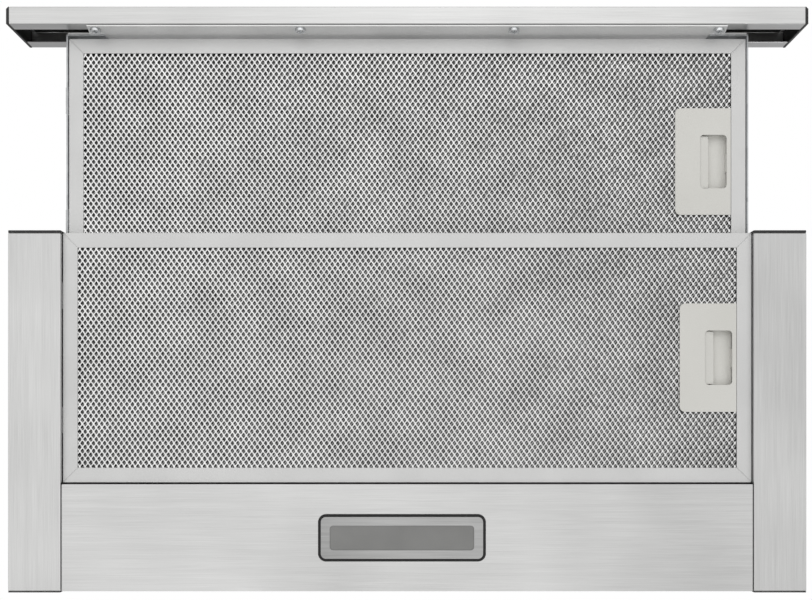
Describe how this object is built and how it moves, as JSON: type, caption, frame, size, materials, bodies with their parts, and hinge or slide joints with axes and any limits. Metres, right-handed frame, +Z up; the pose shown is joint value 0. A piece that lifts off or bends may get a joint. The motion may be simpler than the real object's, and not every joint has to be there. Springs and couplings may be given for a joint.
{
  "type": "slide-out range hood",
  "caption": "Slide-out range hood seen from below: brushed steel body, sliding tray with a front bar, mesh grease filters with finger latches, LED lamp, blower and duct collar with a damper.",
  "frame": {"origin": "centre of the four fixing holes, on the top face of the blower housing", "axes": "+Z up, -Y to the front (the bar and the tray), +X to the right seen from the front"},
  "size_m": [0.6, 0.4412, 0.2114],
  "materials": {
    "brushed_stainless": "fine brushed grain, satin",
    "galvanised_steel": "zinc coated sheet, matte",
    "satin_aluminium": "satin extruded profile",
    "mesh_aluminium": "expanded mesh, bright strands",
    "grey_abs": "moulded ABS, light grey, fine texture",
    "black_abs": "moulded ABS, black, fine texture",
    "black_rubber": "moulded rubber",
    "white_nylon": "moulded nylon",
    "frosted_acrylic": "frosted diffuser, grey when unlit",
    "circuit_board": "green solder mask",
    "dark_polypropylene": "moulded polypropylene",
    "zinc_screws": "bright zinc plated",
    "spring_steel": "drawn wire",
    "motor_steel": "drawn steel can",
    "capacitor_case": "moulded polypropylene case"
  },
  "bodies": {
    "chassis": {"housing_shell": "galvanised_steel", "side_channel_left": "brushed_stainless", "side_channel_right": "brushed_stainless", "channel_end_caps": "black_abs", "rear_panel": "brushed_stainless", "base_front_rail": "galvanised_steel", "guide_channels": "galvanised_steel", "glide_blocks": "white_nylon", "stop_bumpers": "black_rubber", "lamp_gasket": "black_rubber", "lamp_bezel": "brushed_stainless", "lamp_diffuser": "frosted_acrylic", "lamp_led_board": "circuit_board", "lamp_driver": "capacitor_case", "scroll_left": "dark_polypropylene", "scroll_right": "dark_polypropylene", "inlet_guard": "black_abs", "motor_body": "motor_steel", "motor_bracket": "black_abs", "run_capacitor": "capacitor_case", "terminal_box": "black_abs", "terminal_cover": "black_abs", "cable_gland": "black_abs", "outlet_collar": "black_abs", "damper_pin": "zinc_screws", "housing_screws": "zinc_screws"},
    "tray": {"front_bar": "brushed_stainless", "bar_end_caps": "black_abs", "tray_front_member": "galvanised_steel", "tray_rail_left": "galvanised_steel", "tray_rail_right": "galvanised_steel", "tray_rear_member": "galvanised_steel", "runner_strips": "white_nylon", "tray_shoes": "white_nylon", "tray_screws": "zinc_screws", "control_board": "circuit_board", "button_bezel": "black_abs"},
    "front_filter": {"front_filter_frame": "satin_aluminium", "front_face_mesh": "mesh_aluminium", "front_core_mesh": "mesh_aluminium", "front_handle_plate": "grey_abs", "front_latch_spring": "spring_steel", "front_filter_tabs": "satin_aluminium"},
    "front_latch": {"front_latch": "grey_abs"},
    "rear_filter": {"rear_filter_frame": "satin_aluminium", "rear_face_mesh": "mesh_aluminium", "rear_core_mesh": "mesh_aluminium", "rear_handle_plate": "grey_abs", "rear_latch_spring": "spring_steel", "rear_filter_tabs": "satin_aluminium"},
    "rear_latch": {"rear_latch": "grey_abs"},
    "light_key": {"light_button": "grey_abs"},
    "off_key": {"off_button": "grey_abs"},
    "low_key": {"low_button": "grey_abs"},
    "medium_key": {"medium_button": "grey_abs"},
    "high_key": {"high_button": "grey_abs"},
    "fan": {"impeller": "dark_polypropylene", "motor_shaft": "zinc_screws"},
    "front_flap": {"damper_flap_front": "black_abs"},
    "rear_flap": {"damper_flap_rear": "black_abs"}
  },
  "joints": [
    {"name": "tray_slide", "type": "slide", "parent": "chassis", "child": "tray", "axis": [0, -1, 0], "range_m": [-0.151, 0]},
    {"name": "rear_filter_swing", "type": "hinge", "parent": "chassis", "child": "rear_filter", "pos_m": [-0.2587, -0.04095, -0.17165], "axis": [0, 1, 0], "range_deg": [0, 40]},
    {"name": "front_filter_swing", "type": "hinge", "parent": "tray", "child": "front_filter", "pos_m": [-0.2587, -0.19195, -0.15865], "axis": [0, 1, 0], "range_deg": [0, 40]},
    {"name": "rear_latch_slide", "type": "slide", "parent": "rear_filter", "child": "rear_latch", "axis": [-1, 0, 0], "range_m": [0, 0.005], "stiffness_N_per_m": 400, "springref_m": -0.003, "deforming": ["rear_latch_spring"]},
    {"name": "front_latch_slide", "type": "slide", "parent": "front_filter", "child": "front_latch", "axis": [-1, 0, 0], "range_m": [0, 0.005], "stiffness_N_per_m": 400, "springref_m": -0.003, "deforming": ["front_latch_spring"]},
    {"name": "light_press", "type": "slide", "parent": "tray", "child": "light_key", "axis": [0, 1, 0], "range_m": [0, 0.0015], "stiffness_N_per_m": 500, "springref_m": -0.001},
    {"name": "off_press", "type": "slide", "parent": "tray", "child": "off_key", "axis": [0, 1, 0], "range_m": [0, 0.0015], "stiffness_N_per_m": 500, "springref_m": -0.001},
    {"name": "low_press", "type": "slide", "parent": "tray", "child": "low_key", "axis": [0, 1, 0], "range_m": [0, 0.0015], "stiffness_N_per_m": 500, "springref_m": -0.001},
    {"name": "medium_press", "type": "slide", "parent": "tray", "child": "medium_key", "axis": [0, 1, 0], "range_m": [0, 0.0015], "stiffness_N_per_m": 500, "springref_m": -0.001},
    {"name": "high_press", "type": "slide", "parent": "tray", "child": "high_key", "axis": [0, 1, 0], "range_m": [0, 0.0015], "stiffness_N_per_m": 500, "springref_m": -0.001},
    {"name": "fan_spin", "type": "hinge", "parent": "chassis", "child": "fan", "pos_m": [0, 0, -0.065], "axis": [1, 0, 0], "continuous": true},
    {"name": "front_flap_swing", "type": "hinge", "parent": "chassis", "child": "front_flap", "pos_m": [0, 0.043, 0.012], "axis": [-1, 0, 0], "range_deg": [0, 75]},
    {"name": "rear_flap_swing", "type": "hinge", "parent": "chassis", "child": "rear_flap", "pos_m": [0, 0.043, 0.012], "axis": [1, 0, 0], "range_deg": [0, 75]}
  ],
  "couplings": [
    {"joint": "front_filter_swing", "follows": "rear_filter_swing", "ratio": 1}
  ]
}
